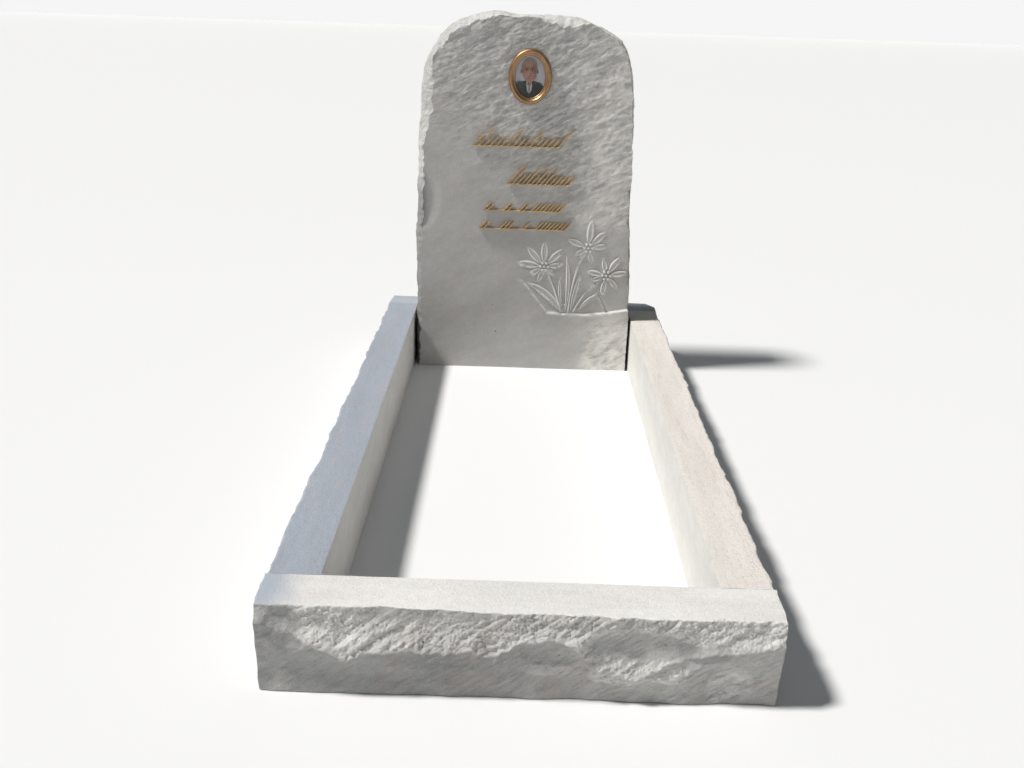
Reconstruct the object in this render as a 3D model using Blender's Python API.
"""A kerbed memorial: four kerb stones round a planting bed and a cleft headstone at the far end.

The front of the bed faces -Y, +X is to the right of someone who reads the headstone, and +Z is up.
The origin is on the ground under the middle of the whole memorial. All sizes are in metres.
"""

import math

import bmesh
import bpy
from mathutils import Vector, noise

# The bed and its kerbs
OVERALL_LENGTH = 1.985
INNER_WIDTH = 0.695
SIDE_KERB_WIDTH = 0.100
KERB_HEIGHT = 0.170
FRONT_KERB_DEPTH = 0.118
REAR_KERB_DEPTH = 0.098
JOINT_GAP = 0.0003

# The pitched faces of the kerbs
FRONT_TOP_SETBACK_LEFT = 0.018
FRONT_TOP_SETBACK_RIGHT = 0.010
FRONT_FOOT_SETBACK = 0.017
FRONT_CORNER_SETBACK = 0.004
FRONT_END_FOOT_SETBACK = 0.003
SPLIT_FACE_RELIEF = 0.006
OUTER_FACE_RELIEF = 0.006
REAR_LEFT_CORNER_SETBACK = 0.008
REAR_END_INSET = 0.003
REAR_CORNER_CHIP_X = 0.030
REAR_CORNER_CHIP_Y = 0.055

# The headstone
HEADSTONE_HEIGHT = 1.097
HEADSTONE_THICKNESS = 0.130
HEADSTONE_SIDE_CLEARANCE = 0.0055
BACK_RIM_WIDTH = 0.010
RIM_ROUGHNESS = 0.004
RIM_CREST = 0.38
TOP_RIM_START = 0.84
TOP_RIM_BLEND = 0.12
SHOULDER_DROP = 0.247
SPALL_HEIGHT = 0.540
SPALL_HALF_WIDTH = 0.080
SPALL_HALF_HEIGHT = 0.100
SPALL_DEPTH = 0.009
CLEFT_RISE = math.radians(27)
CLEFT_DEPTH = 0.0022
BROAD_SWELL = 0.0035

# The flower relief, carved in the headstone
PLANT_ROOT_X = 0.141
PLANT_ROOT_Z = 0.200
PLANT_TO_ROW_CLEARANCE = 0.0346
PLANT_TO_SIDE_CLEARANCE = 0.0129
RELIEF_GROUND_DEPTH = 0.0065
RELIEF_GROUND_TILT = 0.018
RELIEF_FADE_HEIGHT = 0.270
DRESSED_GROUND_WIDTH = 0.170
DRESSED_GROUND_HEIGHT = 0.240
PETAL_ROOT_WIDTH = 0.009
PETAL_WIDENING = 0.174
PETAL_HEIGHT = 0.0048
BLADE_SINK = 0.0007
STEM_WIDTH = 0.0065
STEM_HEIGHT = 0.0040
BEAD_RADIUS = 0.0052
BEAD_LIFT = 0.0015
BEAD_RING_RADIUS = 0.0125
BEADS_IN_RING = 6
CUTTER_CLEARANCE = 0.020

# The portrait medallion
PORTRAIT_X = -0.002
PORTRAIT_DROP = 0.184
PORTRAIT_SIGHT_WIDTH = 0.090
PORTRAIT_SIGHT_HEIGHT = 0.120
FRAME_RING_WIDTH = 0.020
FRAME_RING_DEPTH = 0.014
FRAME_BACK_CUT = 0.5
SEAT_HALF_WIDTH = 0.200
SEAT_MARGIN = 0.020
PLAQUE_EDGE_THICKNESS = 0.0045
PLAQUE_DOME_RISE = 0.0040

# The bronze rows of strokes
NAME_ROW_HEIGHT = 0.058
DATE_ROW_HEIGHT = 0.027
NAME_ROW_DROPS = (0.390, 0.503)
DATE_ROW_DROPS = (0.585, 0.642)
STROKE_THICKNESS = 0.007
STROKE_WIDTH = 0.0056
STROKE_LEAN = math.tan(math.radians(38))
RAIL_HEIGHT = 0.0034

HALF_LENGTH = OVERALL_LENGTH / 2
HALF_WIDTH = INNER_WIDTH / 2 + SIDE_KERB_WIDTH
BED_FRONT = -HALF_LENGTH + FRONT_KERB_DEPTH
REAR_KERB_FRONT = HALF_LENGTH - REAR_KERB_DEPTH
HEADSTONE_BACK = REAR_KERB_FRONT - JOINT_GAP
HEADSTONE_FACE = HEADSTONE_BACK - HEADSTONE_THICKNESS
HEADSTONE_HALF_WIDTH = INNER_WIDTH / 2 - HEADSTONE_SIDE_CLEARANCE
SEAT_Y = HEADSTONE_FACE - JOINT_GAP
# The flowers are as large as fits under the lowest row and beside the headstone's right edge. The
# flower under the rows reaches PLANT_REACH_UP times their height, the one at the right
# PLANT_REACH_RIGHT times it.
PLANT_REACH_UP = 0.76
PLANT_REACH_RIGHT = 0.64
ROOM_ABOVE = HEADSTONE_HEIGHT - DATE_ROW_DROPS[1] - PLANT_TO_ROW_CLEARANCE - PLANT_ROOT_Z
ROOM_BESIDE = HEADSTONE_HALF_WIDTH - PLANT_TO_SIDE_CLEARANCE - PLANT_ROOT_X
PLANT_HEIGHT = round(min(ROOM_ABOVE / PLANT_REACH_UP, ROOM_BESIDE / PLANT_REACH_RIGHT), 4)
PORTRAIT_Z = HEADSTONE_HEIGHT - PORTRAIT_DROP
SHOULDER_HEIGHT = HEADSTONE_HEIGHT - SHOULDER_DROP
SEAT_TOP = PORTRAIT_Z + PORTRAIT_SIGHT_HEIGHT / 2 + FRAME_RING_WIDTH + SEAT_MARGIN
SEAT_FOOT = HEADSTONE_HEIGHT - DATE_ROW_DROPS[1] - SEAT_MARGIN

# The headstone's outline, as shares of its half width and of its height
LEFT_SIDE = ((-1.0, 0.0), (-1.0, 0.16), (-1.015, 0.33), (-1.003, 0.56), (-0.985, 0.73),
             (-0.953, 0.84), (-0.88, 0.898), (-0.795, 0.937))
TOP_SIDE = ((-0.795, 0.937), (-0.70, 0.966), (-0.55, 0.985), (-0.33, 1.0), (-0.12, 0.994),
            (0.15, 0.9945), (0.38, 0.99), (0.53, 0.977), (0.69, 0.953), (0.79, 0.933))
RIGHT_SIDE = ((1.0, 0.0), (1.0, 0.16), (0.985, 0.31), (0.957, 0.45), (0.945, 0.64),
              (0.935, 0.765), (0.90, 0.848), (0.85, 0.90), (0.79, 0.933))

# Width of the broken rim: down each side by share of the height, and along the top by share of the
# half width
LEFT_RIM = ((0.0, 0.014), (0.20, 0.018), (0.42, 0.023), (0.66, 0.024), (0.71, 0.043), (0.78, 0.042),
            (0.84, 0.032), (0.90, 0.018), (1.0, 0.028))
RIGHT_RIM = ((0.0, 0.004), (0.30, 0.004), (0.60, 0.006), (0.75, 0.011), (1.0, 0.011))
TOP_RIM = ((-0.80, 0.028), (-0.59, 0.026), (-0.42, 0.024), (-0.29, 0.014), (0.05, 0.010),
           (0.17, 0.024), (0.33, 0.033), (0.41, 0.031), (0.50, 0.009), (0.80, 0.010))

# The crest of the front kerb's pitched face: place along the kerb as a share of its half width,
# and height as a share of the kerb's height
FRONT_CREST = ((-1.0, 0.84), (-0.82, 0.67), (-0.64, 0.42), (-0.58, 0.53), (-0.38, 0.56),
               (-0.17, 0.57), (-0.10, 0.50), (0.0, 0.71), (0.19, 0.71), (0.28, 0.43),
               (0.46, 0.32), (0.55, 0.50), (0.71, 0.62), (1.0, 0.76))
# Hollows that a pitching chisel left in it: centre, half width and half height in the same shares,
# and depth in metres
FRONT_HOLLOWS = ((0.46, 0.60, 0.24, 0.28, 0.013), (-0.11, 0.60, 0.06, 0.14, 0.005),
                 (-0.74, 0.28, 0.16, 0.24, 0.004), (0.12, 0.58, 0.12, 0.16, 0.006),
                 (-0.83, 0.77, 0.14, 0.22, 0.008), (0.77, 0.24, 0.13, 0.26, 0.006),
                 (0.86, 0.80, 0.10, 0.12, 0.005))

# The flower relief's places and lengths are shares of the plant's height, measured from its root.
# Each flower: its centre, and its petals as (direction in degrees, length)
FLOWERS = {
    "left": ((-0.27, 0.48), ((91, 0.28), (132, 0.28), (173, 0.30), (211, 0.19), (250, 0.18),
                             (324, 0.17), (7, 0.20), (45, 0.29))),
    "top": ((0.20, 0.70), ((86, 0.30), (158, 0.25), (210, 0.16), (234, 0.14), (285, 0.18),
                           (8, 0.21), (46, 0.25))),
    "right": ((0.41, 0.40), ((102, 0.19), (56, 0.25), (10, 0.23), (312, 0.19), (261, 0.23),
                             (200, 0.17), (169, 0.21))),
}
# Stems: root, bend and tip
STEMS = (((-0.07, -0.02), (-0.13, 0.20), (-0.23, 0.41)),
         ((0.01, -0.02), (0.04, 0.42), (0.17, 0.64)),
         ((0.07, -0.02), (0.15, 0.19), (0.33, 0.32)))
# Blade leaves: root, bend, tip and width
LEAVES = (((-0.06, -0.035), (-0.20, 0.20), (-0.44, 0.29), 0.083),
          ((-0.05, -0.02), (-0.11, 0.20), (-0.08, 0.38), 0.034),
          ((-0.02, -0.02), (0.02, 0.31), (-0.03, 0.60), 0.048),
          ((0.04, -0.02), (0.07, 0.20), (0.135, 0.43), 0.048),
          ((0.11, -0.02), (0.20, 0.11), (0.32, 0.19), 0.041),
          ((0.31, 0.20), (0.36, 0.11), (0.43, -0.02), 0.034))
# The sunk ground's edge: down its slope at the left, along the ledge and out past the side
RELIEF_EDGE = ((-0.50, 0.29), (-0.23, -0.045), (-0.05, -0.062), (0.19, -0.062), (0.44, -0.035),
               (0.80, 0.03))

# Each row of strokes: left end, drop of its base below the headstone's top, width, height, and
# its strokes' heights as shares of the row's, where 0 leaves a gap
ROWS = {
    "name_row_1": (-0.170, NAME_ROW_DROPS[0], 0.262, NAME_ROW_HEIGHT,
                   (0.62, 1.0, 0.55, 0.50, 0.48, 0.50, 0.95, 0.50, 0.46, 0.50, 0.92, 0.50, 0.48,
                    0.52, 0.50, 0.98)),
    "name_row_2": (-0.062, NAME_ROW_DROPS[1], 0.190, NAME_ROW_HEIGHT,
                   (0.90, 1.0, 0.55, 0.60, 0.95, 0.55, 1.0, 0.55, 0.90, 0.50, 0.48, 0.50, 0.46, 0.50)),
    "date_row_1": (-0.134, DATE_ROW_DROPS[0], 0.238, DATE_ROW_HEIGHT,
                   (0.95, 0.8, 0, 0, 0, 0.9, 0.75, 0, 0, 0.9, 0.75, 0, 0.9, 0.95, 0.9, 0.95, 0.9,
                    0.95, 0.9, 0.95)),
    "date_row_2": (-0.146, DATE_ROW_DROPS[1], 0.269, DATE_ROW_HEIGHT,
                   (0.95, 0.8, 0, 0, 0, 0.9, 0.85, 0.9, 0, 0, 0, 0.8, 0, 0, 0.9, 0.95, 0.9, 0.95,
                    0.9, 0.95, 0.9, 0.95)),
}

MATERIALS = {
    "stone": ((0.60, 0.57, 0.51), 0.85, 0.0),
    "bronze": ((0.44, 0.29, 0.13), 0.38, 1.0),
    "ceramic": ((0.42, 0.43, 0.43), 0.18, 0.0),
}


def clear_scene():
    for old in list(bpy.data.objects):
        bpy.data.objects.remove(old, do_unlink=True)


def make_collection(name):
    collection = bpy.data.collections.new(name)
    bpy.context.scene.collection.children.link(collection)
    return collection


def make_material(name):
    colour, roughness, metallic = MATERIALS[name]
    material = bpy.data.materials.new(name)
    material.use_nodes = True
    shader = material.node_tree.nodes["Principled BSDF"]
    shader.inputs["Base Color"].default_value = (*colour, 1.0)
    shader.inputs["Roughness"].default_value = roughness
    shader.inputs["Metallic"].default_value = metallic
    return material


def finish(shape, name, material, collection):
    """An object of this bmesh, in its collection."""
    bmesh.ops.recalc_face_normals(shape, faces=shape.faces)
    mesh = bpy.data.meshes.new(name)
    shape.to_mesh(mesh)
    shape.free()
    if material:
        mesh.materials.append(material)
    piece = bpy.data.objects.new(name, mesh)
    collection.objects.link(piece)
    return piece


def ease(share):
    """Rises smoothly from 0 to 1 as share does."""
    share = min(max(share, 0.0), 1.0)
    return share * share * (3 - 2 * share)


def mix(low, high, share):
    return low + (high - low) * share


def smooth_line(points, share):
    """The place at this share of the way along a smooth line through the points."""
    places = [Vector(point) for point in points]
    reach = [0.0]
    for one, other in zip(places, places[1:]):
        reach.append(reach[-1] + (other - one).length)
    distance = min(max(share, 0.0), 1.0) * reach[-1]
    last = len(places) - 2
    step = min(max(sum(mark <= distance for mark in reach) - 1, 0), last)
    t = (distance - reach[step]) / (reach[step + 1] - reach[step])
    before = places[max(step - 1, 0)]
    start = places[step]
    end = places[step + 1]
    after = places[min(step + 2, last + 1)]
    bend = (end - before) * 0.5
    leave = (after - start) * 0.5
    return (start * (2 * t**3 - 3 * t**2 + 1) + bend * (t**3 - 2 * t**2 + t)
            + end * (3 * t**2 - 2 * t**3) + leave * (t**3 - t**2))


def height_over(points, place):
    """Straight-line reading of (place, height) points."""
    for (start, low), (end, high) in zip(points, points[1:]):
        if place <= end:
            return mix(low, high, max(place - start, 0.0) / (end - start))
    return points[-1][1]


def gridded_block(across, deep, high):
    """A closed block from 0 to 1 each way, its faces cut into a regular grid."""
    block = bmesh.new()
    bmesh.ops.create_cube(block, size=1)
    bmesh.ops.translate(block, verts=block.verts, vec=(0.5, 0.5, 0.5))
    for axis, count in enumerate((across, deep, high)):
        along = [edge for edge in block.edges
                 if abs(edge.verts[0].co[axis] - edge.verts[1].co[axis]) > 0.5]
        bmesh.ops.subdivide_edges(block, edges=along, cuts=count - 1, use_grid_fill=True)
    return block


def shaped_block(counts, place):
    """A gridded block whose points are moved by place(u, v, w). Its flat faces are left whole, or cut
    up like the rest where a flat part's outline would touch itself and leave the block open."""
    for flat_faces_whole in (True, False):
        block = gridded_block(*counts)
        for vertex in block.verts:
            vertex.co = place(*vertex.co)
        if flat_faces_whole:
            bmesh.ops.dissolve_limit(block, angle_limit=math.radians(0.05),
                                     use_dissolve_boundaries=False, verts=block.verts,
                                     edges=block.edges, delimit=set())
        bmesh.ops.triangulate(block, faces=block.faces)
        if all(edge.is_manifold for edge in block.edges):
            return block
        block.free()
    raise ValueError("the block isn't closed")


def split_face(along, up, seed):
    """How far a split stone face stands back at this place, from 0 to 1."""
    broad = noise.noise(Vector((along * 9.0, up * 13.0, seed)))
    fine = noise.noise(Vector((along * 27.0, up * 33.0, seed + 5.0)))
    return min(max(0.42 + 0.9 * broad + 0.5 * fine, 0.0), 1.0)


def front_face_setback(x, z):
    """How far the front kerb's pitched face stands back from its foremost line."""
    along = x / HALF_WIDTH
    up = z / KERB_HEIGHT
    crest = height_over(FRONT_CREST, along)
    top_setback = mix(FRONT_TOP_SETBACK_LEFT, FRONT_TOP_SETBACK_RIGHT, ease((along + 1) / 1.4))
    if up > crest:
        over = (up - crest) / (1 - crest)
        setback = top_setback * over * (2 - over)
    else:
        under = (crest - up) / crest
        setback = FRONT_FOOT_SETBACK * under * (2 - under)
    for centre_x, centre_z, half_x, half_z, depth in FRONT_HOLLOWS:
        reach = ((along - centre_x) / half_x) ** 2 + ((up - centre_z) / half_z) ** 2
        setback += depth * max(1 - reach, 0.0)
    return setback + SPLIT_FACE_RELIEF * split_face(x, z, 1.7)


def front_kerb_point(u, v, w):
    x = mix(-HALF_WIDTH, HALF_WIDTH, u)
    z = KERB_HEIGHT * w
    y = BED_FRONT
    if v < 1:
        front = -HALF_LENGTH + front_face_setback(x, z)
        y = mix(front, BED_FRONT, v)
    end = abs(2 * u - 1) ** 24
    corner = FRONT_CORNER_SETBACK * (1 - ease(v * 3))
    foot = FRONT_END_FOOT_SETBACK * (1 - ease(w * 6))
    setback = end * (corner + foot + 0.5 * OUTER_FACE_RELIEF * split_face(y, z, 3.1))
    return Vector((x - math.copysign(setback, x), y, z))


def side_kerb_point(u, v, w, side):
    """u runs from the bed to the outer face; side is -1 on the left and 1 on the right."""
    y = mix(BED_FRONT + JOINT_GAP, REAR_KERB_FRONT - JOINT_GAP, v)
    z = KERB_HEIGHT * w
    outer = HALF_WIDTH - OUTER_FACE_RELIEF * split_face(y, z, 11.0 + side * 4)
    return Vector((side * mix(INNER_WIDTH / 2, outer, u), y, z))


def rear_kerb_point(u, v, w):
    x = mix(-HALF_WIDTH, HALF_WIDTH, u)
    z = KERB_HEIGHT * w
    if 0 < u < 1:
        back = HALF_LENGTH - (OUTER_FACE_RELIEF * split_face(x, z, 23.0) if v == 1 else 0.0)
        y = mix(REAR_KERB_FRONT, back, v)
        inward = max(abs(x) - (HALF_WIDTH - REAR_CORNER_CHIP_X), 0.0) / REAR_CORNER_CHIP_X
        if x > 0 and v == 1:
            y -= 0.5 * REAR_CORNER_CHIP_Y * inward
        return Vector((x, y, z))
    y = mix(REAR_KERB_FRONT, HALF_LENGTH - REAR_END_INSET, v)
    setback = OUTER_FACE_RELIEF * split_face(y, z, 31.0)
    if u == 1 and v == 1:
        y -= REAR_CORNER_CHIP_Y
    if u == 0:
        setback += REAR_LEFT_CORNER_SETBACK * v
    return Vector((x - math.copysign(setback, x), y, z))


def seat_share(x, z):
    """1 where the portrait and the rows are bedded and the face is dressed flat, 0 well off it."""
    beside = 1 - ease((abs(x) - SEAT_HALF_WIDTH) / 0.06)
    above = 1 - ease((z - SEAT_TOP) / 0.03)
    below = 1 - ease((SEAT_FOOT - z) / 0.04)
    return beside * above * below


def face_swell(x, z):
    """How far the headstone's cleft face stands out at this place."""
    along = x * math.cos(CLEFT_RISE) + z * math.sin(CLEFT_RISE)
    across = z * math.cos(CLEFT_RISE) - x * math.sin(CLEFT_RISE)
    rough = 0.35 + 0.65 * ease((z + x - 0.35) / 0.5)
    swell = BROAD_SWELL * noise.noise(Vector((x * 2.6 + 3.1, z * 2.6 + 0.7, 0.4)))
    swell += CLEFT_DEPTH * rough * noise.noise(Vector((along * 4.5, across * 13.0, 2.0)))
    beside_plant = ease((x - PLANT_ROOT_X + DRESSED_GROUND_WIDTH) / 0.05)
    dressed = beside_plant * (1 - ease((z - PLANT_ROOT_Z - DRESSED_GROUND_HEIGHT) / 0.06))
    swell *= (1 - seat_share(x, z)) * (1 - 0.8 * dressed)
    spall_x = (x + HEADSTONE_HALF_WIDTH) / SPALL_HALF_WIDTH
    spall_z = (z - SPALL_HEIGHT) / SPALL_HALF_HEIGHT
    return swell - SPALL_DEPTH * max(1 - spall_x**2 - spall_z**2, 0.0)


def outline_point(s, w):
    """The headstone's outline filled by a grid: s from -1 at the left to 1, w from 0 at the foot to 1."""
    u = (s + 1) / 2
    left = smooth_line(LEFT_SIDE, w)
    right = smooth_line(RIGHT_SIDE, w)
    top = smooth_line(TOP_SIDE, u)
    foot = Vector((s, 0.0))
    corners = ((Vector(LEFT_SIDE[0]) * (1 - u) + Vector(RIGHT_SIDE[0]) * u) * (1 - w)
               + (Vector(TOP_SIDE[0]) * (1 - u) + Vector(TOP_SIDE[-1]) * u) * w)
    place = left * (1 - u) + right * u + foot * (1 - w) + top * w - corners
    return place.x * HEADSTONE_HALF_WIDTH, place.y * HEADSTONE_HEIGHT


def rim_setback(rim, v):
    """How far the rough edge stands in from the outline, v from 0 at the face to 1 at the back."""
    if v < RIM_CREST:
        return rim * (1 - v / RIM_CREST) ** 1.6
    return BACK_RIM_WIDTH * ((v - RIM_CREST) / (1 - RIM_CREST)) ** 2


def headstone_point(u, v, w):
    s = 2 * u - 1
    x, z = outline_point(s, w)
    depth = v**1.3
    high = z / HEADSTONE_HEIGHT
    side_rim = height_over(LEFT_RIM if s < 0 else RIGHT_RIM, high)
    top_rim = height_over(TOP_RIM, x / HEADSTONE_HALF_WIDTH)
    rim = mix(side_rim, top_rim, ease((high - TOP_RIM_START) / TOP_RIM_BLEND))
    rough = RIM_ROUGHNESS * noise.noise(Vector((x * 14.0, z * 14.0, depth * 3.0)))
    rough *= ease((z - KERB_HEIGHT) / 0.1)
    near_edge = max(abs(s), ease(w)) ** 2
    inward = Vector((-0.5 * x, min(SHOULDER_HEIGHT - z, 0.0))).normalized()
    setback = (rim_setback(rim, depth) + max(rough, 0.0)) * near_edge
    x += inward.x * setback
    z += inward.y * setback
    y = mix(HEADSTONE_FACE, HEADSTONE_BACK, depth)
    if v == 0:
        y -= face_swell(x, z)
    return Vector((x, y, z))


def plant_place(share):
    """A place in the relief, from its shares of the plant's height."""
    return PLANT_ROOT_X + share[0] * PLANT_HEIGHT, PLANT_ROOT_Z + share[1] * PLANT_HEIGHT


def relief_ground(x, z):
    """How deep the flowers' ground lies behind the headstone's face: most at the ledge's right."""
    rise = z - plant_place(RELIEF_EDGE[2])[1]
    return RELIEF_GROUND_DEPTH * (1 - rise / RELIEF_FADE_HEIGHT) + RELIEF_GROUND_TILT * (x - PLANT_ROOT_X)


def ground_cutter(collection):
    """The wedge that sinks the flowers' ground, deepest at the ledge and fading out above."""
    edge = [plant_place(share) for share in RELIEF_EDGE]
    top = edge[2][1] + RELIEF_FADE_HEIGHT
    outline = [*edge, (edge[-1][0], top), (edge[1][0], top)]
    wedge = bmesh.new()
    corners = [wedge.verts.new((x, HEADSTONE_FACE - CUTTER_CLEARANCE, z)) for x, z in outline]
    front = wedge.faces.new(corners)
    grown = bmesh.ops.extrude_face_region(wedge, geom=[front])["geom"]
    for corner in grown:
        if isinstance(corner, bmesh.types.BMVert):
            corner.co.y = HEADSTONE_FACE + relief_ground(corner.co.x, corner.co.z)
    cutter = finish(wedge, "relief_ground_cutter", None, collection)
    hide_helper(cutter)
    return cutter


def hide_helper(helper):
    helper.hide_render = True
    helper.display_type = "WIRE"


def carved_blade(name, root, bend, tip, width, height, rings, collection):
    """A pointed blade along a bent line on the flowers' ground, half of it inside the stone."""
    blade = bmesh.new()
    bmesh.ops.create_uvsphere(blade, u_segments=6, v_segments=rings, radius=1)
    for vertex in blade.verts:
        t = math.acos(min(max(vertex.co.z, -1.0), 1.0)) / math.pi
        side = vertex.co.x * width / 2
        out = vertex.co.y * height
        x = mix(mix(root[0], bend[0], t), mix(bend[0], tip[0], t), t)
        z = mix(mix(root[1], bend[1], t), mix(bend[1], tip[1], t), t)
        run_x = mix(bend[0] - root[0], tip[0] - bend[0], t)
        run_z = mix(bend[1] - root[1], tip[1] - bend[1], t)
        run = math.hypot(run_x, run_z)
        ground = HEADSTONE_FACE + relief_ground(x, z) + BLADE_SINK
        vertex.co = (x - side * run_z / run, ground - out, z + side * run_x / run)
    piece = finish(blade, name, None, collection)
    hide_helper(piece)
    return piece


def carved_flower(name, centre, petals, collection):
    middle = Vector(plant_place(centre))
    ground = HEADSTONE_FACE + relief_ground(middle.x, middle.y)
    for number, (direction, length) in enumerate(petals, 1):
        angle = math.radians(direction)
        way = Vector((math.cos(angle), math.sin(angle)))
        root = middle + way * BEAD_RING_RADIUS
        tip = middle + way * length * PLANT_HEIGHT
        width = PETAL_ROOT_WIDTH + PETAL_WIDENING * length * PLANT_HEIGHT
        carved_blade(f"{name}_petal_{number}", root, (root + tip) / 2, tip, width, PETAL_HEIGHT, 5,
                     collection)
    for number in range(BEADS_IN_RING + 1):
        angle = 2 * math.pi * number / BEADS_IN_RING
        out = BEAD_RING_RADIUS if number else 0.0
        bead = bmesh.new()
        bmesh.ops.create_uvsphere(bead, u_segments=6, v_segments=4, radius=BEAD_RADIUS)
        place = (middle.x + out * math.cos(angle), ground - BEAD_LIFT, middle.y + out * math.sin(angle))
        bmesh.ops.translate(bead, verts=bead.verts, vec=place)
        hide_helper(finish(bead, f"{name}_bead_{number}", None, collection))


def make_headstone(material, collection, cutters, carving):
    block = shaped_block((24, 4, 34), headstone_point)
    headstone = finish(block, "headstone", material, collection)
    sink = headstone.modifiers.new("relief_ground", "BOOLEAN")
    sink.operation = "DIFFERENCE"
    sink.object = ground_cutter(cutters)
    for name, (centre, petals) in FLOWERS.items():
        carved_flower(name, centre, petals, carving)
    for number, points in enumerate(STEMS, 1):
        root, bend, tip = map(plant_place, points)
        carved_blade(f"stem_{number}", root, bend, tip, STEM_WIDTH, STEM_HEIGHT, 7, carving)
    for number, (*points, width) in enumerate(LEAVES, 1):
        root, bend, tip = map(plant_place, points)
        carved_blade(f"leaf_{number}", root, bend, tip, width * PLANT_HEIGHT, PETAL_HEIGHT, 7, carving)
    carve = headstone.modifiers.new("flowers", "BOOLEAN")
    carve.operation = "UNION"
    carve.operand_type = "COLLECTION"
    carve.collection = carving
    return headstone


def make_kerbs(material, collection):
    finish(shaped_block((44, 4, 8), front_kerb_point), "front_kerb", material, collection)
    for name, side in (("left_kerb", -1), ("right_kerb", 1)):
        block = shaped_block((1, 44, 5), lambda u, v, w, side=side: side_kerb_point(u, v, w, side))
        finish(block, name, material, collection)
    finish(shaped_block((22, 3, 5), rear_kerb_point), "rear_kerb", material, collection)


def make_portrait(bronze, ceramic, collection):
    """The oval ring, its back bedded on the headstone, and the domed plaque inside it."""
    ring_radius = FRAME_RING_WIDTH / 2
    half_x = PORTRAIT_SIGHT_WIDTH / 2 + ring_radius
    half_z = PORTRAIT_SIGHT_HEIGHT / 2 + ring_radius
    bpy.ops.mesh.primitive_torus_add(major_segments=40, minor_segments=8, major_radius=1.0,
                                     minor_radius=0.5)
    frame = bpy.context.object
    frame.name = "portrait_frame"
    frame.data.name = "portrait_frame"
    for vertex in frame.data.vertices:
        angle = math.atan2(vertex.co.y, vertex.co.x)
        out = (math.hypot(vertex.co.x, vertex.co.y) - 1.0) * FRAME_RING_WIDTH
        away = Vector((math.cos(angle) / half_x, math.sin(angle) / half_z)).normalized()
        lift = (max(vertex.co.z / 0.5, -FRAME_BACK_CUT) + FRAME_BACK_CUT) / (1 + FRAME_BACK_CUT)
        vertex.co = (half_x * math.cos(angle) + away.x * out, -lift * FRAME_RING_DEPTH,
                     half_z * math.sin(angle) + away.y * out)
    frame.location = (PORTRAIT_X, SEAT_Y, PORTRAIT_Z)
    frame.data.materials.append(bronze)
    frame.data.shade_smooth()
    for owner in frame.users_collection:
        owner.objects.unlink(frame)
    collection.objects.link(frame)

    plaque = bmesh.new()
    edge_x = PORTRAIT_SIGHT_WIDTH / 2 - JOINT_GAP
    edge_z = PORTRAIT_SIGHT_HEIGHT / 2 - JOINT_GAP
    bmesh.ops.create_cone(plaque, cap_ends=True, segments=40, radius1=1, radius2=1, depth=1)
    front = max(plaque.faces, key=lambda face: face.calc_center_median().z)
    for share in (0.86, 0.62, 0.34):
        bmesh.ops.inset_region(plaque, faces=[front], thickness=0.0, use_even_offset=False)
        for vertex in front.verts:
            flat = vertex.co.xy.normalized() * share
            vertex.co = (flat.x, flat.y, 0.5 + 1 - share**2)
    for vertex in plaque.verts:
        x, y, z = vertex.co
        rise = PLAQUE_EDGE_THICKNESS * min(z + 0.5, 1.0) + PLAQUE_DOME_RISE * max(z - 0.5, 0.0)
        vertex.co = (x * edge_x + PORTRAIT_X, SEAT_Y - rise, y * edge_z + PORTRAIT_Z)
    finish(plaque, "portrait_plaque", ceramic, collection).data.shade_smooth()


def make_row(name, material, collection):
    """One row of leaning strokes on a thin rail, cut as one flat piece."""
    left, drop, width, height, strokes = ROWS[name]
    pitch = (width - STROKE_WIDTH) / (len(strokes) - 1)
    outline = [(0.0, 0.0), (width, 0.0)]
    for number in range(len(strokes) - 1, -1, -1):
        top = height * strokes[number]
        if top > 0:
            foot = number * pitch
            lean = top * STROKE_LEAN
            outline += [(foot + STROKE_WIDTH, RAIL_HEIGHT), (foot + STROKE_WIDTH + lean, top),
                        (foot + lean, top), (foot, RAIL_HEIGHT)]
    curve = bpy.data.curves.new(name, "CURVE")
    curve.dimensions = "2D"
    curve.fill_mode = "BOTH"
    curve.extrude = STROKE_THICKNESS / 2
    spline = curve.splines.new("POLY")
    spline.points.add(len(outline) - 1)
    for point, (x, z) in zip(spline.points, outline):
        point.co = (x, z, 0.0, 1.0)
    spline.use_cyclic_u = True
    curve.materials.append(material)
    row = bpy.data.objects.new(name, curve)
    row.location = (left, SEAT_Y - STROKE_THICKNESS / 2, HEADSTONE_HEIGHT - drop)
    row.rotation_euler = (math.pi / 2, 0.0, 0.0)
    collection.objects.link(row)


def main():
    clear_scene()
    memorial = make_collection("kerbed_memorial")
    cutters = make_collection("cutters")
    carving = make_collection("carving")
    stone = make_material("stone")
    bronze = make_material("bronze")
    ceramic = make_material("ceramic")
    make_kerbs(stone, memorial)
    make_headstone(stone, memorial, cutters, carving)
    make_portrait(bronze, ceramic, memorial)
    for name in ROWS:
        make_row(name, bronze, memorial)


main()
